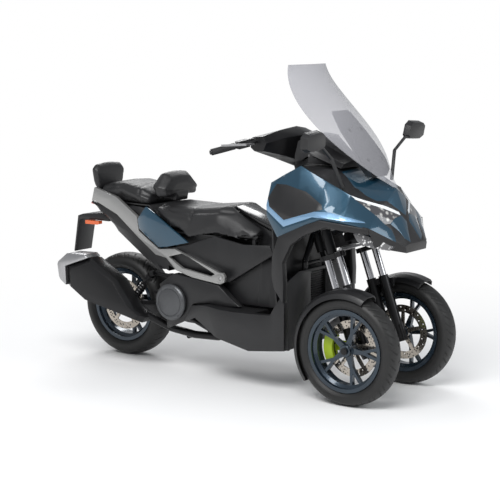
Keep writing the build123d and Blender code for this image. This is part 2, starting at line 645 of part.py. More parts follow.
with BuildPart() as side_panels:
    add(fairing_skin.part)
    add(above_arch.part, mode=Mode.INTERSECT)
    add(stripe_zone.part, mode=Mode.SUBTRACT)
    add(inset_zone.part, mode=Mode.SUBTRACT)
    add(front_zone.part, mode=Mode.SUBTRACT)
    add(cowl_zone.part, mode=Mode.SUBTRACT)
with BuildPart() as nose_form:
    add(side_panels.part)
    add(pointed_ends.part)
    add(hood.part)
    add(blades.part)
    add(headlamps.part, mode=Mode.SUBTRACT)
    add(fairing_stripe.part, mode=Mode.SUBTRACT)
    cylinder_between(raked(800, 0, -STEM_BACK), raked(1000, 0, -STEM_BACK), STEM_R + MOVE_CLEAR, Mode.SUBTRACT)
with BuildPart() as nose_paint:
    add(nose_form.part.solids().filter_by(lambda panel: panel.volume > LEAST_PANEL))
finish(nose_paint, "nose_fairing")

with BuildPart() as trim_form:
    add(fairing_skin.part)
    add(above_arch.part, mode=Mode.INTERSECT)
    add(nose_paint.part, mode=Mode.SUBTRACT)
    cylinder_between(raked(800, 0, -STEM_BACK), raked(1000, 0, -STEM_BACK), STEM_R + MOVE_CLEAR, Mode.SUBTRACT)
    add(fairing_stripe.part, mode=Mode.SUBTRACT)
    add(headlamps.part, mode=Mode.SUBTRACT)
with BuildPart() as nose_trim:
    add(trim_form.part.solids().filter_by(lambda panel: panel.volume > LEAST_PANEL))
finish(nose_trim, "nose_trim")

# Flared lip of each wheel arch, running down to the floorboard corner.
finish(flank([(930, 866), (905, 869), (812, 885), (703, 897), (620, 867), (467, 799), (429, 698), (425, 603),
              (442, 539), (477, 495), (498, 470), (500, 560), (492, 671), (541, 763), (613, 815), (738, 865),
              (821, 852), (930, 836)],
             [(415, 338), (470, 344), (700, 346), (820, 326), (930, 268), (930, 244), (820, 300), (700, 316),
              (470, 304), (415, 306)]), "wheel_arch_lips")

# Running-light strip slung under each side of the nose.
strip_form = flank([(846, 836), (875, 842), (960, 806), (1010, 772), (996, 756), (930, 768), (866, 800)],
                   [(846, 262), (900, 252), (1010, 168), (1010, 140), (900, 222), (846, 236)])
with BuildPart() as indicator_strips:
    add(strip_form.part)
    add(fairing_skin.part, mode=Mode.SUBTRACT)
finish(indicator_strips, "indicator_strips")

# ================================================================ windscreen and cockpit
# Columns: height, x at the centreline, x at the edge, half width.
SCREEN_STATIONS = (
    (1041, 929, 926, 22),
    (1130, 852, 828, 110),
    (1212, 785, 746, 182),
    (1300, 712, 652, 224),
    (1400, 626, 548, 234),
    (1500, 536, 462, 214),
    (1625, 426, 410, 168),
)
SCREEN_T = 4
with BuildPart() as windscreen:
    for z, centre_x, edge_x, half in SCREEN_STATIONS:
        with BuildSketch(Plane.XY.offset(z)):
            with BuildLine():
                ThreePointArc((edge_x, -half), (centre_x, 0), (edge_x, half))
                Line((edge_x, half), (edge_x - SCREEN_T, half))
                ThreePointArc((edge_x - SCREEN_T, half), (centre_x - 1.5 * SCREEN_T, 0),
                              (edge_x - SCREEN_T, -half))
                Line((edge_x - SCREEN_T, -half), (edge_x, -half))
            make_face()
    loft()
finish(windscreen, "windscreen")

with BuildPart() as bracket_form:
    with BuildSketch(Plane.XZ):
        Polygon((836, 1086), (838, 1130), (766, 1212), (690, 1300), (604, 1400), (592, 1400), (676, 1300),
                (752, 1212), (800, 1092), align=None)
    extrude(amount=200, both=True)
    with BuildSketch(Plane.YZ):
        Polygon(*full_outline([(0, 1410), (58, 1410), (84, 1388), (106, 1300), (120, 1160), (60, 1070),
                               (0, 1070)]), align=None)
    extrude(amount=FAR, mode=Mode.INTERSECT)
    for y, z in ((-64, 1170), (64, 1170), (-56, 1310), (56, 1310)):
        cylinder_between((600, y, z), (900, y, z), 9)
    with BuildSketch(Plane.XZ):
        Polygon((500, 1000), (500, 1500), (592, 1412), (676, 1298), (752, 1210), (796, 1000), align=None)
    extrude(amount=200, both=True, mode=Mode.SUBTRACT)
    with BuildSketch(Plane.XZ):
        Polygon((929, 1041), (785, 1212), (712, 1300), (626, 1400), (540, 1500), (1200, 1500), (1200, 1041),
                align=None)
    extrude(amount=200, both=True, mode=Mode.SUBTRACT)
    add(windscreen.part, mode=Mode.SUBTRACT)
dash_form = lofted((
    (436, ((0, 1262), (120, 1250), (150, 1180), (150, 1112), (0, 1100))),
    (520, ((0, 1290), (118, 1272), (158, 1180), (158, 1146), (0, 1140))),
    (700, ((0, 1160), (110, 1150), (140, 1132), (140, 1128), (0, 1128))),
))
with BuildPart() as dashboard:
    add(dash_form.part)
    add(bracket_form.part.solids().sort_by(SortBy.VOLUME)[-1])
finish(dashboard, "dashboard")

with BuildPart() as mirrors:
    cylinder_between((768, -234, 1048), (744, -300, 1190), 9)
    cylinder_between((744, -300, 1190), (752, -428, 1272), 8)
    with BuildSketch(Plane(origin=(742, -474, 1292), x_dir=(0, 1, 0), z_dir=(-1, 0, 0.12))):
        Polygon((-66, -36), (-92, -16), (-84, 40), (-40, 58), (60, 50), (84, 30), (74, -24), (40, -44),
                align=None)
    extrude(amount=34, taper=12)
    mirror(about=Plane.XZ)
finish(mirrors, "mirrors")

# Twin shock absorbers: body, rod and coil spring turns.
shock_low = Vector(SHOCK_LOW_X, -SHOCK_Y, SHOCK_LOW_Z)
shock_run = Vector(SHOCK_TOP_X, -SHOCK_Y, SHOCK_TOP_Z) - shock_low
shock_len = shock_run.length
shock_plane = Plane(origin=shock_low, x_dir=(0, -1, 0), z_dir=Vector(0, -1, 0).cross(shock_run))
COIL_TURNS = 8
COIL_PITCH = 18
with BuildPart() as rear_shocks:
    with BuildSketch(shock_plane):
        Polygon((0, 12), (9, 12), (9, shock_len - 12), (0, shock_len - 12), align=None)
        Polygon((0, 30), (22, 30), (22, 36), (0, 36), align=None)
        Polygon((0, shock_len - 40), (22, shock_len - 40), (22, shock_len - 14), (0, shock_len - 14), align=None)
        with Locations(*[(18, 46 + COIL_PITCH * turn) for turn in range(COIL_TURNS)]):
            RegularPolygon(5, 4)
        Polygon((0, 40), (15, 40), (15, 46 + COIL_PITCH * COIL_TURNS - 8), (0, 46 + COIL_PITCH * COIL_TURNS - 8),
                align=None)
    revolve(axis=Axis(shock_low, shock_run))
    for end in (shock_low, shock_low + shock_run):
        cylinder_between(end + Vector(0, 12, 0), end - Vector(0, 12, 0), 15)
    cylinder_between(shock_low + Vector(0, 12, 0), shock_low - Vector(0, 12, 0), 8.2, Mode.SUBTRACT)
    cylinder_between(shock_low + shock_run + Vector(0, 12, 0), shock_low + shock_run - Vector(0, 12, 0), 8,
                     Mode.SUBTRACT)
    mirror(about=Plane.XZ)
finish(rear_shocks, "rear_shocks")

# ================================================================ lower body
LEGSHIELD_REAR = ((434, 396), (404, 640), (386, 900), (366, 1038))
with BuildPart() as legshield:
    with BuildSketch(Plane.XZ):
        Polygon(*LEGSHIELD_REAR, (373, 1038), (394, 900), (412, 640), (441, 396), align=None)
    extrude(amount=330, both=True)
    with BuildSketch(Plane.YZ):
        Polygon(*full_outline([(0, 1036), (252, 1036), (290, 945), (286, 800), (292, 640), (300, 500), (298, 396),
                               (0, 396)]), align=None)
    extrude(amount=FAR, mode=Mode.INTERSECT)
    with BuildSketch(Plane.YZ):
        Polygon((-30, 820), (30, 820), (30, 1100), (-30, 1100), align=None)
    extrude(amount=FAR, mode=Mode.SUBTRACT)
    with BuildSketch(Plane.YZ.offset(478)):
        Polygon(*full_outline([(0, 606), (180, 606), (294, 560), (296, 250), (270, 222), (0, 222)]), align=None)
        with Locations((0, 460)):
            RectangleRounded(140, 262, 12, mode=Mode.SUBTRACT)
    extrude(amount=5)
finish(legshield, "legshield")

TUNNEL_STATIONS = (
    (6, ((0, 700), (84, 698), (158, 640), (164, 402), (0, 402))),
    (226, ((0, 704), (80, 702), (148, 640), (170, 402), (0, 402))),
    (236, ((0, 744), (76, 738), (142, 640), (170, 402), (0, 402))),
    (292, ((0, 748), (74, 742), (140, 640), (170, 402), (0, 402))),
    (450, ((0, 716), (66, 708), (120, 640), (168, 402), (0, 402))),
)
tunnel_skin = shell(TUNNEL_STATIONS, 4)
with BuildPart() as centre_tunnel:
    add(tunnel_skin.part)
    with BuildSketch(Plane.XZ):
        Polygon(*LEGSHIELD_REAR, (600, 1038), (600, 396), align=None)
    extrude(amount=400, both=True, mode=Mode.SUBTRACT)
    with BuildSketch(Plane.XZ):
        Polygon((12, 690), (12, 868), (274, 758), (274, 744), (232, 700), align=None)
    extrude(amount=66, both=True)
    with BuildSketch(Plane.XZ):
        Polygon((60, 780), (60, 900), (240, 900), (240, 754), align=None)
    extrude(amount=48, both=True, mode=Mode.SUBTRACT)
    with BuildSketch(Plane.XY.offset(700)):
        with Locations((150, 0)):
            Circle(34)
    extrude(amount=92)
    for y in (-136, -104, 104, 136):
        with BuildSketch(Plane.XZ.offset(y + 4)):
            Polygon((SEAT_PIN_X - 14, 640), (SEAT_PIN_X + 14, 640), (SEAT_PIN_X + 8, SEAT_PIN_Z + 8),
                    (SEAT_PIN_X - 8, SEAT_PIN_Z + 8), align=None)
        extrude(amount=-8)
    for hand in (-1, 1):
        cylinder_between((SEAT_PIN_X, hand * 100, SEAT_PIN_Z), (SEAT_PIN_X, hand * 140, SEAT_PIN_Z), SEAT_PIN_R)
        with BuildSketch(Plane.XZ.offset(hand * 68 + 4)):
            Polygon((LID_PIN_X - 8, 736), (LID_PIN_X + 8, 736), (LID_PIN_X + 6, LID_PIN_Z + 5),
                    (LID_PIN_X - 6, LID_PIN_Z + 5), align=None)
        extrude(amount=-8)
    cylinder_between((LID_PIN_X, -72, LID_PIN_Z), (LID_PIN_X, 72, LID_PIN_Z), LID_PIN_R)
finish(centre_tunnel, "centre_tunnel")

with BuildPart() as fuel_lid:
    with BuildSketch(Plane.XZ):
        Polygon((LID_PIN_X - 4, LID_PIN_Z - 4), (20, 876), (16, 884), (26, 890), (LID_PIN_X + 4, 782),
                (LID_PIN_X + 6, LID_PIN_Z), align=None)
    extrude(amount=LID_HALF, both=True)
    with BuildSketch(Plane.XY):
        Polygon((10, -60), (40, -LID_HALF), (180, -LID_HALF), (320, -54), (320, 54), (180, LID_HALF),
                (40, LID_HALF), (10, 60), align=None)
    extrude(amount=FAR, mode=Mode.INTERSECT)
    cylinder_between((LID_PIN_X, -54, LID_PIN_Z), (LID_PIN_X, 54, LID_PIN_Z), 7)
    cylinder_between((LID_PIN_X, -90, LID_PIN_Z), (LID_PIN_X, 90, LID_PIN_Z), LID_PIN_R + RUN_CLEAR,
                     Mode.SUBTRACT)
finish(fuel_lid, "fuel_lid")

BELLY_STATIONS = (
    (66, ((0, 236), (170, 236), (150, 205), (0, 205))),
    (300, ((0, 240), (290, 240), (236, 205), (0, 205))),
    (476, ((0, 240), (296, 240), (262, 216), (0, 212))),
)
belly_form = lofted(BELLY_STATIONS)
with BuildPart() as belly_pan:
    add(belly_form.part)
    with BuildSketch(Plane.XY.offset(210)):
        Polygon((40, -150), (290, -224), (500, -250), (500, 250), (290, 224), (40, 150), align=None)
    extrude(amount=100, mode=Mode.SUBTRACT)

finish(flank([(-345, 560), (-345, 652), (-180, 690), (-24, 742), (148, 712), (300, 718), (322, 672), (66, 511),
              (30, 511), (-268, 540)],
             [(-350, 178), (0, 178), (150, 170), (330, 160), (330, 168), (166, 186), (0, 198), (-250, 196),
              (-350, 184)]), "side_covers")

engine_cover_form = flank([(-392, 458), (-268, 530), (30, 500), (105, 438), (165, 398), (60, 392), (-25, 398), (-134, 382),
              (-186, 292), (-250, 262), (-326, 228), (-345, 335)],
             [(-392, 200), (-250, 240), (30, 246), (165, 240), (165, 204), (-392, 180)])
finish(engine_cover_form, "engine_side_covers")

floor_form = flank([(-130, 378), (-25, 395), (187, 391), (343, 396), (416, 400), (440, 440), (477, 494), (498, 468),
              (498, 230), (284, 204), (60, 250), (-99, 320), (-179, 290)],
             [(-200, 250), (0, 300), (100, 332), (440, FLOOR_HALF), (498, FLOOR_HALF - 4), (498, 300), (300, 302),
              (300, 176), (-200, 176)])
with BuildPart() as floorboards:
    add(floor_form.part)
    add(belly_form.part, mode=Mode.SUBTRACT)
    add(engine_cover_form.part, mode=Mode.SUBTRACT)
    add(belly_pan.part)
finish(floorboards, "floorboards")

ROUND_X = -272
ROUND_Z = 380
with BuildPart() as crankcase_covers:
    with BuildSketch(Plane.XZ.offset(246.3)):
        with Locations((ROUND_X, ROUND_Z)):
            Circle(96)
    extrude(amount=22)
    chamfer(crankcase_covers.faces().sort_by(Axis.Y)[0].edges(), 8)
    with BuildSketch(Plane.XZ.offset(268.3)):
        with Locations((ROUND_X, ROUND_Z)):
            Circle(74)
            Circle(70, mode=Mode.SUBTRACT)
    extrude(amount=-3, mode=Mode.SUBTRACT)
    mirror(about=Plane.XZ)
finish(crankcase_covers, "crankcase_covers")

# ================================================================ seat and tail
with BuildPart() as storage_tub:
    tub_mid = (TUB_REAR_X + TUB_FRONT_X) / 2
    tub_len = TUB_FRONT_X - TUB_REAR_X
    with BuildSketch(Plane.XY.offset(TUB_FLOOR_Z)):
        with Locations((tub_mid, 0)):
            RectangleRounded(tub_len, 2 * TUB_HALF, 30)
    extrude(amount=TUB_RIM_Z - TUB_FLOOR_Z)
    with BuildSketch(Plane.XY.offset(TUB_RIM_Z - 5)):
        with Locations((tub_mid, 0)):
            Rectangle(tub_len, 2 * (178 - REST_CLEAR))
    extrude(amount=5)
    with BuildSketch(Plane.XY.offset(TUB_FLOOR_Z + TUB_WALL)):
        with Locations((tub_mid, 0)):
            RectangleRounded(tub_len - 2 * TUB_WALL, 2 * (TUB_HALF - TUB_WALL), 26)
    extrude(amount=TUB_RIM_Z - TUB_FLOOR_Z, mode=Mode.SUBTRACT)
finish(storage_tub, "storage_tub")

SEAT_UNDER = TUB_RIM_Z + REST_CLEAR
with BuildPart() as seat_base:
    with BuildSketch(Plane.XZ):
        Polygon((200, SEAT_UNDER), (-336, SEAT_UNDER), (-350, 756), (-450, 807), (-514, 859), (-876, 860),
                (-876, 865.7), (-508, 865.7), (-440, 811.7), (-330, 761.5), (-200, 753.5), (200, 753.5), align=None)
    extrude(amount=148, both=True)
    with BuildSketch(Plane.XY):
        Polygon((-876, -100), (-600, -130), (-440, -140), (-330, -148), (150, -148), (196, -128), (196, 128),
                (150, 148), (-330, 148), (-440, 140), (-600, 130), (-876, 100), align=None)
        with Locations((108, 0)):
            Rectangle(200, 2 * (LID_HALF + MOVE_CLEAR), mode=Mode.SUBTRACT)
    extrude(amount=FAR, mode=Mode.INTERSECT)
    for hand in (-1, 1):
        cylinder_between((SEAT_PIN_X, hand * 109, SEAT_PIN_Z), (SEAT_PIN_X, hand * 131, SEAT_PIN_Z), 10)
        with BuildSketch(Plane.XZ.offset(hand * 120 + 11)):
            Polygon((SEAT_PIN_X - 8, SEAT_PIN_Z), (SEAT_PIN_X + 8, SEAT_PIN_Z), (SEAT_PIN_X + 10, SEAT_UNDER + 2),
                    (SEAT_PIN_X - 10, SEAT_UNDER + 2), align=None)
        extrude(amount=-22)
    for hand in (-1, 1):
        cylinder_between((SEAT_PIN_X, hand * 90, SEAT_PIN_Z), (SEAT_PIN_X, hand * 150, SEAT_PIN_Z),
                         SEAT_PIN_R + RUN_CLEAR, Mode.SUBTRACT)
finish(seat_base, "seat_base")

# Columns: x, then (y, z) from the top centre over the flank and back under to the centre.
SEAT_STATIONS = (
    (-440, ((0, 882), (118, 878), (158, 862), (160, 846), (150, 846), (150, 812), (0, 812))),
    (-330, ((0, 872), (150, 868), (184, 836), (190, 792), (182, 792), (182, 762), (0, 762))),
    (-200, ((0, 868), (152, 865), (188, 828), (196, 716), (184, 716), (184, 754), (0, 754))),
    (-24, ((0, 888), (136, 884), (178, 838), (196, 752), (184, 752), (184, 754), (0, 754))),
    (20, ((0, 896), (112, 890), (160, 836), (192, 746), (184, 746), (182, 754), (0, 754))),
    (150, ((0, 822), (104, 818), (140, 790), (186, 726), (176, 726), (172, 754), (0, 754))),
    (204, ((0, 792), (98, 788), (122, 778), (140, 764), (136, 757), (130, 754), (0, 754))),
)
seat_form = lofted(SEAT_STATIONS)
with BuildPart() as rider_seat:
    add(seat_form.part)
    with BuildSketch(Plane.XZ):
        Polygon((8, 700), (8, 1000), (300, 1000), (300, 700), align=None)
    extrude(amount=LID_HALF + MOVE_CLEAR, both=True, mode=Mode.SUBTRACT)
finish(rider_seat, "rider_seat")

finish(lofted((
    (-482, ((0, 1030), (70, 1028), (140, 975), (125, 930), (60, 926), (56, 884), (0, 884))),
    (-438, ((0, 1048), (95, 1042), (165, 965), (150, 912), (60, 905), (56, 883.5), (0, 883.5))),
    (-392, ((0, 1020), (80, 1012), (145, 960), (130, 918), (60, 912), (56, 880), (0, 880))),
)), "rider_backrest")

finish(lofted((
    (-878, ((0, 948), (80, 944), (102, 930), (104, 915), (104, 890), (102, 866), (0, 866))),
    (-700, ((0, 980), (126, 972), (146, 940), (128, 904), (118, 888), (116, 866), (0, 866))),
    (-560, ((0, 960), (130, 950), (160, 908), (150, 880), (138, 872), (134, 866), (0, 866))),
    (-505, ((0, 925), (110, 915), (140, 893), (136, 878), (130, 872), (126, 866), (0, 866))),
)), "pillion_seat")

finish(lofted((
    (-935, ((0, 1056), (90, 1050), (112, 1030), (96, 960), (0, 950))),
    (-912, ((0, 1070), (98, 1062), (122, 1035), (100, 925), (0, 918))),
    (-888, ((0, 1046), (92, 1040), (116, 1018), (96, 920), (0, 914))),
)), "pillion_backrest")

TAIL_STATIONS = (
    (-945, ((0, 858), (96, 856), (104, 846), (72, 834), (0, 832))),
    (-880, ((0, 858), (104, 856), (110, 806), (80, 786), (0, 784))),
    (-760, ((0, 856), (114, 854), (122, 740), (96, 700), (0, 698))),
    (-560, ((0, 852), (140, 850), (143, 700), (140, 596), (0, 596))),
    (-512, ((0, 850), (144, 846), (150, 680), (148, 570), (0, 570))),
    (-440, ((0, 798), (150, 796), (164, 640), (160, 530), (0, 530))),
    (-348, ((0, 748), (160, 746), (176, 640), (172, 528), (0, 528))),
)
tail_form = lofted(TAIL_STATIONS)
with BuildPart() as tail_cover:
    add(tail_form.part)
    with BuildSketch(Plane.XZ):
        Polygon((-941, 850), (-941, 1010), (-935.3, 1010), (-935.3, 875), (-918, 862), (-918, 850), align=None)
    extrude(amount=45, both=True)
finish(tail_cover, "tail_cover")

arm_form = flank([(-918, 862), (-896, 936), (-728, 895), (-570, 800), (-556, 726), (-397, 643), (-270, 658),
              (-210, 640), (40, 566), (66, 566), (80, 548), (76, 520), (50, 508), (25, 508), (-150, 522),
              (-263, 548), (-335, 604), (-420, 612), (-560, 690), (-720, 800), (-890, 862)],
             [(-922, 132), (-560, 168), (-260, 224), (90, 256), (90, 238), (-260, 204), (-560, 146),
              (-922, 110)],
             holes=[[(-318, 612), (-216, 640), (-172, 628), (14, 556), (-16, 540), (-216, 562)]])
with BuildPart() as side_arms:
    add(arm_form.part)
    for hand in (-1, 1):
        cylinder_between((PEG_X, hand * 234, PEG_Z), (PEG_X, hand * 258, PEG_Z), 18)
        cylinder_between((PEG_X, hand * 220, PEG_Z), (PEG_X, hand * 270, PEG_Z), PEG_BORE_R, Mode.SUBTRACT)
finish(side_arms, "side_arms")

finish(flank([(-548, 738), (-560, 790), (-494, 862), (-470, 852), (-186, 697), (-340, 660), (-397, 651)],
             [(-580, 172), (-480, 190), (-186, 216), (-186, 200), (-480, 172), (-580, 150)]),
       "rear_side_panels")

finish(prism([(-945.3, 834), (-945.3, 856), (-960, 850), (-966, 838)], Plane.XZ, 84), "tail_lamp")

TAIL_END = -(FRONT_AXLE_X + FRONT_TYRE_R)
HUGGER_R = REAR_TYRE_R + 16
with BuildPart() as rear_mudguard:
    with BuildSketch(Plane.XZ):
        Polygon((-850, 790), (-1040, 772), (-1078, 760), (TAIL_END + 6, 590), (TAIL_END, 556),
                (TAIL_END + 8, 554), (-1068, 736), (-1040, 744), (-850, 742), align=None)
    extrude(amount=70, both=True)
    add(tail_form.part, mode=Mode.SUBTRACT)
    with BuildSketch(wheel_plane(REAR_AXLE_X, 0, REAR_TYRE_R)):
        Polygon((-90, HUGGER_R - 40), (-78, HUGGER_R - 14), (-34, HUGGER_R + 5), (34, HUGGER_R + 5),
                (78, HUGGER_R - 14), (90, HUGGER_R - 40), (85, HUGGER_R - 40), (74, HUGGER_R - 18),
                (32, HUGGER_R), (-32, HUGGER_R), (-74, HUGGER_R - 18), (-85, HUGGER_R - 40), align=None)
    revolve(axis=Axis((REAR_AXLE_X, 0, REAR_TYRE_R), (0, 1, 0)))
    with BuildSketch(Plane.XZ):
        Polygon((REAR_AXLE_X, REAR_TYRE_R), (-430, 430), (-430, 640), (-860, 640), (-1140, 540), (-1140, 800),
                (-700, 800), (-700, 660), (-420, 660), (-420, 420), align=None)
    extrude(amount=FAR, both=True, mode=Mode.INTERSECT)
finish(rear_mudguard, "rear_mudguard")

finish(flank([(-1000, 722), (-1000, 742), (-900, 742), (-900, 726), (-912, 722)],
             [(-1000, 98), (-900, 98), (-900, 70.3), (-1000, 70.3)]), "rear_indicators")

# ================================================================ exhaust and stands
MUFFLER_SIDE = ((-936, 415), (-941, 519), (-775, 578), (-588, 473), (-486, 344), (-400, 292), (-420, 262),
                (-487, 275), (-818, 344))
CAP_SIDE = ((-936.3, 415), (-941.3, 520), (-775, 578.3), (-800, 596), (-925, 592), (-998, 535), (-984, 448))


def shrunk(points, share):
    """Outline drawn in towards its own middle."""
    mid_x = sum(x for x, z in points) / len(points)
    mid_z = sum(z for x, z in points) / len(points)
    return [(mid_x + (x - mid_x) * share, mid_z + (z - mid_z) * share) for x, z in points]


def can(outline):
    """Faceted box beside the wheel: full outline inboard, drawn in at its outer face."""
    with BuildPart() as body:
        for distance, share in ((226, 0.96), (250, 1), (312, 1), (342, 0.86)):
            with BuildSketch(Plane.XZ.offset(distance)):
                Polygon(*shrunk(outline, share), align=None)
        loft(ruled=True)
    return body


can_form = can(MUFFLER_SIDE)
with BuildPart() as muffler_cap:
    with BuildSketch(Plane.XZ.offset(228)):
        Polygon(*CAP_SIDE, align=None)
    extrude(amount=110)
    chamfer(muffler_cap.edges().filter_by(Axis.Y).sort_by(Axis.X)[:2], 10)
finish(muffler_cap, "muffler_cap")

PIPE_POINTS = ((-20, -128, 270), (-40, -128, 200), (-200, -140, 196), (-352, -150, 216), (-424, -272, 300))
pipe_form = rod(PIPE_POINTS, 24, 20)
with BuildPart() as muffler:
    add(can_form.part)
    add(pipe_form.part)
    add(engine_block.part, mode=Mode.SUBTRACT)
finish(muffler, "muffler")

with BuildPart() as centre_stand:
    cylinder_between((STAND_X, -86, STAND_Z), (STAND_X, 86, STAND_Z), 13)
    for hand in (-1, 1):
        cylinder_between((STAND_X, hand * 70, STAND_Z), (STAND_X - 186, hand * 96, STAND_Z - 14), 11)
        cylinder_between((STAND_X - 186, hand * 82, STAND_Z - 14), (STAND_X - 186, hand * 112, STAND_Z - 14), 13)
    cylinder_between((STAND_X - 90, -84, STAND_Z - 7), (STAND_X - 90, 84, STAND_Z - 7), 8)
    cylinder_between((STAND_X, -100, STAND_Z), (STAND_X, 100, STAND_Z), STAND_PIN_R + RUN_CLEAR, Mode.SUBTRACT)
finish(centre_stand, "centre_stand")

with BuildPart() as side_stand:
    cylinder_between((SIDE_X, SIDE_LUG_Y + 2, SIDE_Z), (SIDE_X, SIDE_LUG_Y + 24, SIDE_Z), 15)
    cylinder_between((SIDE_X, SIDE_LUG_Y + 13, SIDE_Z), (SIDE_X - 205, SIDE_LUG_Y + 40, SIDE_Z - 22), 10)
    with BuildSketch(Plane(origin=(SIDE_X - 205, SIDE_LUG_Y + 40, SIDE_Z - 22), z_dir=(-1, 0, -0.1))):
        Rectangle(40, 30)
    extrude(amount=10)
    cylinder_between((SIDE_X, SIDE_LUG_Y - 4, SIDE_Z), (SIDE_X, SIDE_LUG_Y + 60, SIDE_Z), STAND_PIN_R + RUN_CLEAR,
                     Mode.SUBTRACT)
finish(side_stand, "side_stand")
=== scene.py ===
import json
import math
import random

import bmesh
import bpy
from mathutils import Matrix, Vector

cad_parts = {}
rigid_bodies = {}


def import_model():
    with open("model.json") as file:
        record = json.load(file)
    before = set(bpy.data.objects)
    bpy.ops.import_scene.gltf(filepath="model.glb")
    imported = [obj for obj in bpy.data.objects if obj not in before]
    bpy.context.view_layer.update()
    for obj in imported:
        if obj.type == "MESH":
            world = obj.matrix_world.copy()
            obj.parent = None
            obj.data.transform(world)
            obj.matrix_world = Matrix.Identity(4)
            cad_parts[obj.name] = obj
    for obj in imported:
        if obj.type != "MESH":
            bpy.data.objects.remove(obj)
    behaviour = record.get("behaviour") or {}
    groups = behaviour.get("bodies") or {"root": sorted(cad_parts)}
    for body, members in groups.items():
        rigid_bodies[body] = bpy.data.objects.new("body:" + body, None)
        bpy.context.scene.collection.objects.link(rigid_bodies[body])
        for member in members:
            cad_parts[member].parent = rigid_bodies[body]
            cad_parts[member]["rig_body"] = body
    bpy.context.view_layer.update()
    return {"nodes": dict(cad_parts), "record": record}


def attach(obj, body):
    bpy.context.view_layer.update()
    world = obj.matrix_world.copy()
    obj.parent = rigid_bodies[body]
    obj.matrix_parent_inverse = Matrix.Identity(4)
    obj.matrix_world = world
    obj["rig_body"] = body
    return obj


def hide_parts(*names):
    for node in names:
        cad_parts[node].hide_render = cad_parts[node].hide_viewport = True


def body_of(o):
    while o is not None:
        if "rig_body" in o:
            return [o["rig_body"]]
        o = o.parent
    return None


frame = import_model()
random.seed(7)

# ---------------------------------------------------------------- camera
target = Vector((0.0575, 0.0, 0.6541))
camera_data = bpy.data.cameras.new("camera")
camera = bpy.data.objects.new("camera", camera_data)
bpy.context.scene.collection.objects.link(camera)
camera.location = (4.4764, -6.2259, 1.8253)
camera.rotation_mode = "QUATERNION"
camera.rotation_quaternion = (target - camera.location).to_track_quat("-Z", "Y")
camera_data.lens = 106.29
camera_data.sensor_width = 36
camera_data.clip_start = 0.1
camera_data.clip_end = 100
bpy.context.scene.camera = camera

# ---------------------------------------------------------------- world, floor and lamps
scene = bpy.context.scene
scene.view_settings.view_transform = "Standard"
world = bpy.data.worlds.new("studio")
scene.world = world
world.use_nodes = True
nodes, links = world.node_tree.nodes, world.node_tree.links
nodes.clear()
out = nodes.new("ShaderNodeOutputWorld")
soft = nodes.new("ShaderNodeBackground")
soft.inputs["Color"].default_value = (0.95, 0.97, 1.0, 1)
soft.inputs["Strength"].default_value = 0.42
seen = nodes.new("ShaderNodeBackground")
seen.inputs["Color"].default_value = (1, 1, 1, 1)
seen.inputs["Strength"].default_value = 1.0
rays = nodes.new("ShaderNodeLightPath")
mix = nodes.new("ShaderNodeMixShader")
either = nodes.new("ShaderNodeMath")
either.operation = "MAXIMUM"
links.new(rays.outputs["Is Camera Ray"], either.inputs[0])
links.new(rays.outputs["Is Transmission Ray"], either.inputs[1])
links.new(either.outputs[0], mix.inputs["Fac"])
links.new(soft.outputs[0], mix.inputs[1])
links.new(seen.outputs[0], mix.inputs[2])
links.new(mix.outputs[0], out.inputs["Surface"])


def area_lamp(name, place, aim, size, power, colour=(1, 1, 1)):
    data = bpy.data.lights.new(name, "AREA")
    data.shape = "RECTANGLE"
    data.size, data.size_y = size
    data.energy = power
    data.color = colour
    lamp = bpy.data.objects.new(name, data)
    scene.collection.objects.link(lamp)
    lamp.location = place
    lamp.rotation_mode = "QUATERNION"
    lamp.rotation_quaternion = (Vector(aim) - Vector(place)).to_track_quat("-Z", "Y")
    return lamp


area_lamp("key", (1.5, -4.2, 5.0), (0, 0, 0.6), (4.5, 2.5), 330)
area_lamp("front", (5.2, 0.8, 2.6), (0.4, 0, 0.7), (2.5, 2.0), 50, (0.95, 0.98, 1.0))
area_lamp("back", (-3.5, 4.0, 4.2), (0, 0, 0.7), (4.0, 2.0), 150)


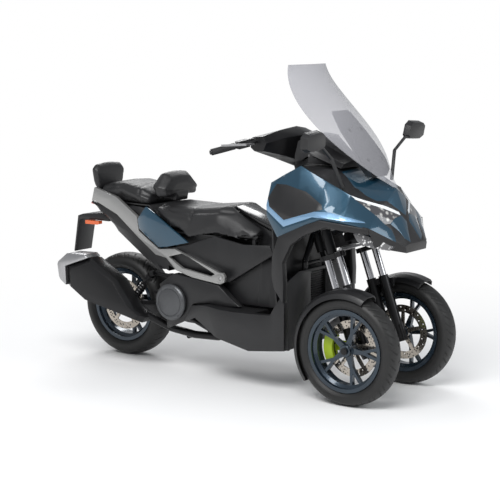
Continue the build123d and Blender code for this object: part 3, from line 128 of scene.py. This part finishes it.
def node_material(name, colour, rough, metal=0.0, **extra):
    """A node material whose colour and roughness vary a little over the surface, with a fine bump."""
    mat = bpy.data.materials.new(name)
    mat.use_nodes = True
    tree = mat.node_tree
    shader = tree.nodes["Principled BSDF"]
    shader.inputs["Metallic"].default_value = metal
    for key, value in extra.get("fixed", {}).items():
        shader.inputs[key].default_value = value
    where = tree.nodes.new("ShaderNodeTexCoord")
    broad = tree.nodes.new("ShaderNodeTexNoise")
    broad.inputs["Scale"].default_value = extra.get("broad", 6.0)
    broad.inputs["Detail"].default_value = 4
    tree.links.new(where.outputs["Object"], broad.inputs["Vector"])
    ramp = tree.nodes.new("ShaderNodeValToRGB")
    vary = extra.get("vary", 0.12)
    ramp.color_ramp.elements[0].position, ramp.color_ramp.elements[1].position = 0.3, 0.7
    ramp.color_ramp.elements[0].color = [c * (1 - vary) for c in colour] + [1]
    ramp.color_ramp.elements[1].color = [min(c * (1 + vary), 1) for c in colour] + [1]
    tree.links.new(broad.outputs["Fac"], ramp.inputs["Fac"])
    tree.links.new(ramp.outputs["Color"], shader.inputs["Base Color"])
    spread = tree.nodes.new("ShaderNodeMapRange")
    spread.inputs["To Min"].default_value = rough * 0.85
    spread.inputs["To Max"].default_value = min(rough * 1.15, 1)
    tree.links.new(broad.outputs["Fac"], spread.inputs["Value"])
    tree.links.new(spread.outputs["Result"], shader.inputs["Roughness"])
    fine = tree.nodes.new("ShaderNodeTexNoise" if extra.get("grain", "noise") == "noise" else "ShaderNodeTexVoronoi")
    fine.inputs["Scale"].default_value = extra.get("fine", 500.0)
    tree.links.new(where.outputs["Object"], fine.inputs["Vector"])
    bump = tree.nodes.new("ShaderNodeBump")
    bump.inputs["Strength"].default_value = extra.get("bump", 0.1)
    bump.inputs["Distance"].default_value = extra.get("depth", 0.0004)
    tree.links.new(fine.outputs[0], bump.inputs["Height"])
    tree.links.new(bump.outputs["Normal"], shader.inputs["Normal"])
    return mat


LOOKS = {
    "body_paint": node_material("body_paint", (0.011, 0.056, 0.098), 0.3, 0.5, broad=3.0, vary=0.08, fine=2500, bump=0.02,
                                fixed={"Coat Weight": 1.0, "Coat Roughness": 0.06}),
    "stripe_paint": node_material("stripe_paint", (0.2, 0.36, 0.55), 0.3, 0.5, broad=3.0, vary=0.08, fine=2500, bump=0.02,
                                  fixed={"Coat Weight": 1.0, "Coat Roughness": 0.06}),
    "silver_paint": node_material("silver_paint", (0.33, 0.33, 0.325), 0.36, 0.6, broad=4.0, vary=0.06, fine=1800, bump=0.03,
                                  fixed={"Coat Weight": 0.5, "Coat Roughness": 0.2}),
    "black_plastic": node_material("black_plastic", (0.011, 0.011, 0.012), 0.4, 0.0, fine=900, bump=0.25, vary=0.15),
    "gloss_plastic": node_material("gloss_plastic", (0.008, 0.008, 0.009), 0.14, 0.0, fine=1500, bump=0.02, vary=0.1),
    "black_metal": node_material("black_metal", (0.011, 0.011, 0.012), 0.32, 0.4, fine=700, bump=0.1),
    "cast_alloy": node_material("cast_alloy", (0.16, 0.16, 0.165), 0.55, 0.8, fine=350, bump=0.4, vary=0.25),
    "silver_alloy": node_material("silver_alloy", (0.45, 0.45, 0.46), 0.32, 0.9, fine=300, bump=0.1, vary=0.12),
    "chrome_tube": node_material("chrome_tube", (0.6, 0.6, 0.62), 0.12, 1.0, fine=300, bump=0.02, vary=0.06),
    "dark_alloy": node_material("dark_alloy", (0.09, 0.093, 0.098), 0.36, 0.6, fine=500, bump=0.1),
    "lime_paint": node_material("lime_paint", (0.3, 0.42, 0.01), 0.3, 0.1, fine=600, bump=0.1),
    "tyre_rubber": node_material("tyre_rubber", (0.009, 0.009, 0.009), 0.52, 0.0, fine=600, bump=0.3, vary=0.25),
    "grip_rubber": node_material("grip_rubber", (0.016, 0.016, 0.017), 0.7, 0.0, fine=900, bump=0.4),
    "wheel_paint": node_material("wheel_paint", (0.02, 0.034, 0.05), 0.25, 0.6, fine=1200, bump=0.03,
                                 fixed={"Coat Weight": 0.6, "Coat Roughness": 0.1}),
    "disc_steel": node_material("disc_steel", (0.5, 0.47, 0.43), 0.35, 1.0, fine=120, bump=0.1, vary=0.2),
    "seat_vinyl": node_material("seat_vinyl", (0.014, 0.014, 0.015), 0.45, 0.0, grain="voronoi", fine=420, bump=0.35,
                                depth=0.0006, vary=0.15),
    "red_lens": node_material("red_lens", (0.45, 0.012, 0.01), 0.12, 0.0, fine=900, bump=0.05,
                              fixed={"Coat Weight": 0.8}),
    "amber_lens": node_material("amber_lens", (0.75, 0.12, 0.015), 0.15, 0.0, fine=900, bump=0.05,
                                fixed={"Coat Weight": 0.8}),
}


def clear_material(name, colour, rough, alpha):
    """Tinted clear sheet: a thin see-through shader that still mirrors the lamps."""
    mat = bpy.data.materials.new(name)
    mat.use_nodes = True
    tree = mat.node_tree
    shader = tree.nodes["Principled BSDF"]
    shader.inputs["Roughness"].default_value = rough
    shader.inputs["IOR"].default_value = 1.49
    where = tree.nodes.new("ShaderNodeTexCoord")
    split = tree.nodes.new("ShaderNodeSeparateXYZ")
    tree.links.new(where.outputs["Object"], split.inputs["Vector"])
    rise = tree.nodes.new("ShaderNodeMapRange")
    rise.inputs["From Min"].default_value, rise.inputs["From Max"].default_value = 1.05, 1.6
    rise.inputs["To Min"].default_value, rise.inputs["To Max"].default_value = alpha * 0.6, alpha * 1.35
    tree.links.new(split.outputs["Z"], rise.inputs["Value"])
    tree.links.new(rise.outputs["Result"], shader.inputs["Alpha"])
    noise = tree.nodes.new("ShaderNodeTexNoise")
    noise.inputs["Scale"].default_value = 2.0
    tree.links.new(where.outputs["Object"], noise.inputs["Vector"])
    ramp = tree.nodes.new("ShaderNodeValToRGB")
    ramp.color_ramp.elements[0].color = [c * 0.95 for c in colour] + [1]
    ramp.color_ramp.elements[1].color = list(colour) + [1]
    tree.links.new(noise.outputs["Fac"], ramp.inputs["Fac"])
    tree.links.new(ramp.outputs["Color"], shader.inputs["Base Color"])
    return mat


def pick(tree, value, low, high, links_to):
    """A 0 to 1 step of a value between two limits, linked on."""
    node = tree.nodes.new("ShaderNodeMapRange")
    node.inputs["From Min"].default_value, node.inputs["From Max"].default_value = low, high
    tree.links.new(value, node.inputs["Value"])
    tree.links.new(node.outputs["Result"], links_to)


def lamp_material(name, dark, pale, line, slope, cell):
    """Lamp glass: dark within, broken by pale reflector cells, with a bright tube along its upper edge."""
    mat = node_material(name, dark, 0.1, 0.0, fine=900, bump=0.05, fixed={"Coat Weight": 1.0, "Coat Roughness": 0.03})
    tree = mat.node_tree
    shader = tree.nodes["Principled BSDF"]
    base = shader.inputs["Base Color"].links[0].from_socket
    where = tree.nodes.new("ShaderNodeTexCoord")
    cells = tree.nodes.new("ShaderNodeTexVoronoi")
    cells.inputs["Scale"].default_value = cell
    tree.links.new(where.outputs["Object"], cells.inputs["Vector"])
    inner = tree.nodes.new("ShaderNodeMix")
    inner.data_type = "RGBA"
    inner.inputs[7].default_value = pale + (1,)
    pick(tree, cells.outputs["Distance"], 0.42, 0.2, inner.inputs["Factor"])
    tree.links.new(base, inner.inputs[6])
    split = tree.nodes.new("ShaderNodeSeparateXYZ")
    tree.links.new(where.outputs["Object"], split.inputs["Vector"])
    size = tree.nodes.new("ShaderNodeMath")
    size.operation = "ABSOLUTE"
    tree.links.new(split.outputs["Y"], size.inputs[0])
    lean = tree.nodes.new("ShaderNodeMath")
    lean.operation = "MULTIPLY_ADD"
    lean.inputs[1].default_value = -slope
    tree.links.new(size.outputs[0], lean.inputs[0])
    tree.links.new(split.outputs["Z"], lean.inputs[2])
    outer = tree.nodes.new("ShaderNodeMix")
    outer.data_type = "RGBA"
    outer.inputs[7].default_value = (0.85, 0.88, 0.9, 1)
    pick(tree, lean.outputs[0], line - 0.003, line, outer.inputs["Factor"])
    tree.links.new(inner.outputs[2], outer.inputs[6])
    tree.links.new(outer.outputs[2], shader.inputs["Base Color"])
    return mat


LOOKS["screen_clear"] = clear_material("screen_clear", (0.42, 0.42, 0.45), 0.05, 0.5)
LOOKS["lamp_lens"] = lamp_material("lamp_lens", (0.05, 0.05, 0.055), (0.5, 0.5, 0.48), 0.893, 0.448, 34)
LOOKS["strip_lens"] = lamp_material("strip_lens", (0.1, 0.1, 0.105), (0.75, 0.75, 0.75), 9.0, 0.0, 70)
LOOKS["disc_holes"] = lamp_material("disc_holes", (0.42, 0.38, 0.33), (0.03, 0.03, 0.03), 9.0, 0.0, 75)
LOOKS["disc_holes"].node_tree.nodes["Principled BSDF"].inputs["Metallic"].default_value = 0.9
LOOKS["disc_holes"].node_tree.nodes["Principled BSDF"].inputs["Coat Weight"].default_value = 0.0

# Each CAD node takes the look of its record slot, or the finer one named here.
FINER = {"fuel_lid": "gloss_plastic", "tilt_linkage": "black_metal", "fairing_stripe": "stripe_paint", "indicator_strips": "strip_lens", "front_disc_left": "disc_holes",
         "front_disc_right": "disc_holes", "rear_disc": "disc_holes", "fork_stanchions_left": "chrome_tube", "fork_stanchions_right": "chrome_tube",
         "front_fender_left": "black_plastic", "front_fender_right": "black_plastic"}
slots = {part["node"]: part["material_slot"] for part in frame["record"]["subparts"]}
look_of = {name: LOOKS[FINER.get(name, slots[name])] for name in frame["nodes"]}
for name, node in frame["nodes"].items():
    node.data.materials.clear()
    node.data.materials.append(look_of[name])


def softened(name, width=0.002, angle=25, parts=2):
    """The CAD node with rolled edges and smooth shading between its creases, standing for it."""
    node = frame["nodes"][name]
    body = body_of(node)[0]
    mesh = node.data.copy()
    obj = bpy.data.objects.new(name + "_skin", mesh)
    scene.collection.objects.link(obj)
    work = bmesh.new()
    work.from_mesh(mesh)
    bmesh.ops.remove_doubles(work, verts=work.verts, dist=1e-5)
    bmesh.ops.dissolve_limit(work, angle_limit=math.radians(1.0), verts=work.verts, edges=work.edges)
    work.to_mesh(mesh)
    work.free()
    mesh.shade_smooth()
    mesh.set_sharp_from_angle(angle=math.radians(angle))
    bevel = obj.modifiers.new("edge", "BEVEL")
    bevel.width = width
    bevel.segments = parts
    bevel.limit_method = "ANGLE"
    bevel.angle_limit = math.radians(angle)
    bevel.use_clamp_overlap = True
    bevel.harden_normals = False
    bpy.context.view_layer.update()
    made = bpy.data.meshes.new_from_object(obj.evaluated_get(bpy.context.evaluated_depsgraph_get()))
    obj.modifiers.clear()
    obj.data = made
    made.shade_smooth()
    made.set_sharp_from_angle(angle=math.radians(angle + 8))
    made.materials.clear()
    made.materials.append(look_of[name])
    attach(obj, body)
    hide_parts(name)
    return obj


SOFT_EDGES = (
    ("nose_fairing", 0.0015), ("fairing_stripe", 0.0012), ("nose_trim", 0.0015), ("wheel_arch_lips", 0.005),
    ("legshield", 0.002), ("centre_tunnel", 0.0015), ("floorboards", 0.004), ("side_covers", 0.003),
    ("engine_side_covers", 0.005), ("crankcase_covers", 0.002), ("side_arms", 0.004), ("rear_side_panels", 0.004),
    ("tail_cover", 0.004), ("muffler", 0.004), ("muffler_cap", 0.004), ("front_fender_left", 0.0015),
    ("front_fender_right", 0.0015), ("mirrors", 0.004), ("dashboard", 0.004), ("fuel_lid", 0.002),
    ("rear_mudguard", 0.0015), ("swingarm", 0.002), ("handlebar", 0.002), ("indicator_strips", 0.002),
)
for name, width in SOFT_EDGES:
    softened(name, width)

# ---------------------------------------------------------------- small shape helpers
def add_piece(name, mesh, look, body):
    """A new object of the object's own, riding on a body."""
    obj = bpy.data.objects.new(name, mesh)
    scene.collection.objects.link(obj)
    if not mesh.materials:
        mesh.materials.append(LOOKS[look])
    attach(obj, body)
    return obj


def lathe(profile, centre, turns=64, groove=None):
    """Mesh turned about the Y axis through centre. The profile is (across, radius), from one side over to the other."""
    verts, faces = [], []
    count = len(profile)
    for step in range(turns):
        angle = 2 * math.pi * step / turns
        for across, radius in profile:
            r = radius - (groove(angle, across) if groove else 0)
            verts.append((centre[0] + r * math.cos(angle), centre[1] + across, centre[2] + r * math.sin(angle)))
    for step in range(turns):
        other = (step + 1) % turns
        for k in range(count - 1):
            faces.append((step * count + k, step * count + k + 1, other * count + k + 1, other * count + k))
    mesh = bpy.data.meshes.new("lathe")
    mesh.from_pydata(verts, [], faces)
    mesh.shade_smooth()
    return mesh


def step_up(low, high, value):
    t = min(max((value - low) / (high - low), 0), 1)
    return t * t * (3 - 2 * t)


def tread(half, count, mirror):
    """Depth of the tread grooves at an angle round the tyre and a distance across it."""
    pitch = 2 * math.pi / count

    def depth(angle, across):
        share = abs(across) / half
        if share > 0.86:
            return 0.0
        side = 1 if across > 0 else -1
        phase = (angle * mirror + (0.5 * pitch if side > 0 else 0)) % pitch / pitch
        swoop = 0.12 + 0.62 * share ** 1.4
        near = abs(phase - swoop)
        near = min(near, 1 - near)
        long_cut = (1 - step_up(0.022, 0.045, near)) * step_up(0.08, 0.16, share) * (1 - step_up(0.72, 0.86, share))
        short = abs(phase - (swoop + 0.42) % 1)
        short = min(short, 1 - short)
        short_cut = (1 - step_up(0.018, 0.038, short)) * step_up(0.38, 0.46, share) * (1 - step_up(0.78, 0.86, share))
        return 0.0042 * max(long_cut, short_cut)
    return depth


def tyre(name, centre, radius, width, bead, rim_half, body, mirror):
    """Tyre with a round grooved crown, moulded sidewall rings and a bead hidden in the rim."""
    half = width / 2
    profile = []
    crown = width * 0.36
    for k in range(-46, 47):
        t = k / 46
        across = half * math.sin(t * math.pi / 2 * 0.985)
        drop = crown * 0.92 * (1 - math.cos(t * math.pi / 2) ** 0.9)
        profile.append((across, radius - drop * abs(t) ** 0.15))
    edge = profile[-1][1]
    wall = []
    for k in range(1, 25):
        t = k / 24
        r = edge + (bead - edge) * t
        y = half * (1 - 0.02 * t) - (half - rim_half) * t ** 2.2
        ridge = 0.0011 if 0.30 < t < 0.34 or 0.78 < t < 0.83 else 0.0
        wall.append((y + ridge, r))
    profile = [(-y, r) for y, r in reversed(wall)] + profile + wall
    mesh = lathe(profile, centre, 540, tread(half, 22, mirror))
    obj = add_piece(name + "_treaded", mesh, "tyre_rubber", body)
    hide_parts(name)
    return obj


tyre("front_tyre_right", (0.84, -0.28, 0.272), 0.272, 0.120, 0.2032, 0.0445, "right_front_wheel", 1)
tyre("front_tyre_left", (0.84, 0.28, 0.272), 0.272, 0.120, 0.2032, 0.0445, "left_front_wheel", 1)
tyre("rear_tyre", (-0.76, 0, 0.285), 0.285, 0.160, 0.2032, 0.057, "back_wheel", -1)


# ---------------------------------------------------------------- bolts
def bolt(name, place, axis, radius, height, body, look="dark_alloy"):
    """Round bolt head with a round socket, seated on a face and standing off along an axis."""
    work = bmesh.new()
    rings = []
    for r, h in ((radius, 0), (radius, height * 0.7), (radius * 0.85, height), (radius * 0.5, height),
                 (radius * 0.5, height * 0.45)):
        rings.append([work.verts.new((r * math.cos(k * math.pi / 12), r * math.sin(k * math.pi / 12), h))
                      for k in range(24)])
    for low, high in zip(rings, rings[1:]):
        for k in range(24):
            work.faces.new((low[k], low[(k + 1) % 24], high[(k + 1) % 24], high[k]))
    work.faces.new(rings[-1])
    turn = Vector(axis).to_track_quat("Z", "Y").to_matrix().to_4x4()
    work.transform(Matrix.Translation(place) @ turn)
    mesh = bpy.data.meshes.new(name)
    work.to_mesh(mesh)
    work.free()
    return add_piece(name, mesh, look, body)


for side, hand in (("right", -1), ("left", 1)):
    bolt(f"peg_bolt_{side}", (0.052, hand * 0.2535, 0.537), (0, hand, 0), 0.0082, 0.003, "chassis", "silver_alloy")
    for turn in range(6):
        angle = math.radians(60 * turn + 12)
        bolt(f"round_cover_bolt_{side}_{turn}",
             (-0.272 + 0.084 * math.cos(angle), hand * 0.2683, 0.380 + 0.084 * math.sin(angle)), (0, hand, 0),
             0.005, 0.0025, "chassis")

# ---------------------------------------------------------------- seats
def pad(name, seams=(), swell=0.006, voxel=0.007):
    """A stuffed pad from its plain solid: remeshed, eased, swelled by cloth under pressure, then creased at its seams."""
    node = frame["nodes"][name]
    body = body_of(node)[0]
    mesh = node.data.copy()
    obj = bpy.data.objects.new(name + "_cushion", mesh)
    scene.collection.objects.link(obj)
    bpy.context.view_layer.objects.active = obj
    remesh = obj.modifiers.new("even", "REMESH")
    remesh.mode = "VOXEL"
    remesh.voxel_size = voxel
    ease = obj.modifiers.new("ease", "SMOOTH")
    ease.factor = 0.5
    ease.iterations = 14
    bpy.context.view_layer.update()
    obj.data = bpy.data.meshes.new_from_object(obj.evaluated_get(bpy.context.evaluated_depsgraph_get()))
    obj.modifiers.clear()
    rest = [v.co.copy() for v in obj.data.vertices]
    cloth = obj.modifiers.new("foam", "CLOTH")
    cloth.settings.quality = 4
    cloth.settings.mass = 0.3
    cloth.settings.tension_stiffness = 60
    cloth.settings.compression_stiffness = 60
    cloth.settings.bending_stiffness = 8
    cloth.settings.use_pressure = True
    cloth.settings.uniform_pressure_force = 4
    cloth.settings.effector_weights.gravity = 0
    cloth.collision_settings.use_collision = False
    scene.frame_start, scene.frame_end = 1, 14
    for number in range(1, 15):
        scene.frame_set(number)
    made = bpy.data.meshes.new_from_object(obj.evaluated_get(bpy.context.evaluated_depsgraph_get()))
    obj.modifiers.clear()
    obj.data = made
    scene.frame_set(1)
    for v, start in zip(obj.data.vertices, rest):
        move = v.co - start
        if move.length > swell:
            v.co = start + move * (swell / move.length)
    obj.data.update()
    normals = [v.normal.copy() for v in obj.data.vertices]
    for seam in seams:
        for v, normal in zip(obj.data.vertices, normals):
            away = seam(v.co)
            if away < 0.012:
                v.co -= normal * 0.0035 * (1 - step_up(0.0, 0.012, away))
    obj.data.shade_smooth()
    obj.data.materials.clear()
    obj.data.materials.append(LOOKS["seat_vinyl"])
    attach(obj, body)
    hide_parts(name)
    return obj


def level_seam(run):
    """Distance from a line (x, z) seen from the side, on both flanks."""
    def away(p):
        best = 1.0
        for (x0, z0), (x1, z1) in zip(run, run[1:]):
            dx, dz = x1 - x0, z1 - z0
            t = min(max(((p.x - x0) * dx + (p.z - z0) * dz) / (dx * dx + dz * dz), 0), 1)
            best = min(best, math.hypot(p.x - x0 - t * dx, p.z - z0 - t * dz))
        return best
    return away


def cross_seam(x0, slope, floor_z):
    """Distance from a seam over the top of a pad, leaning with its width."""
    def away(p):
        return abs(p.x - x0 - slope * abs(p.y)) if p.z > floor_z else 1.0
    return away


pad("rider_seat", [cross_seam(-0.235, 0.25, 0.80), level_seam([(-0.44, 0.868), (-0.33, 0.852), (-0.2, 0.847), (-0.03, 0.865), (0.05, 0.86)])])
pad("rider_backrest", [level_seam([(-0.5, 0.93), (-0.44, 0.955), (-0.38, 0.935)])], 0.008)
pad("pillion_seat", [level_seam([(-0.9, 0.925), (-0.7, 0.95), (-0.56, 0.928), (-0.5, 0.905)]), cross_seam(-0.6, 0.2, 0.9)])
pad("pillion_backrest", [], 0.008)

# ---------------------------------------------------------------- floor
bpy.ops.mesh.primitive_plane_add(size=60)
floor = bpy.context.object
floor.name = "floor"
ground = bpy.data.materials.new("floor")
ground.use_nodes = True
tree = ground.node_tree
shader = tree.nodes["Principled BSDF"]
shader.inputs["Base Color"].default_value = (0.94, 0.94, 0.94, 1)
shader.inputs["Roughness"].default_value = 0.9
where = tree.nodes.new("ShaderNodeTexCoord")
far = tree.nodes.new("ShaderNodeVectorMath")
far.operation = "LENGTH"
tree.links.new(where.outputs["Object"], far.inputs[0])
pale = tree.nodes.new("ShaderNodeEmission")
pale.inputs["Color"].default_value = (1, 1, 1, 1)
blend = tree.nodes.new("ShaderNodeMixShader")
pick(tree, far.outputs["Value"], 1.3, 3.2, blend.inputs["Fac"])
tree.links.new(shader.outputs["BSDF"], blend.inputs[1])
tree.links.new(pale.outputs["Emission"], blend.inputs[2])
tree.links.new(blend.outputs["Shader"], tree.nodes["Material Output"].inputs["Surface"])
floor.data.materials.append(ground)
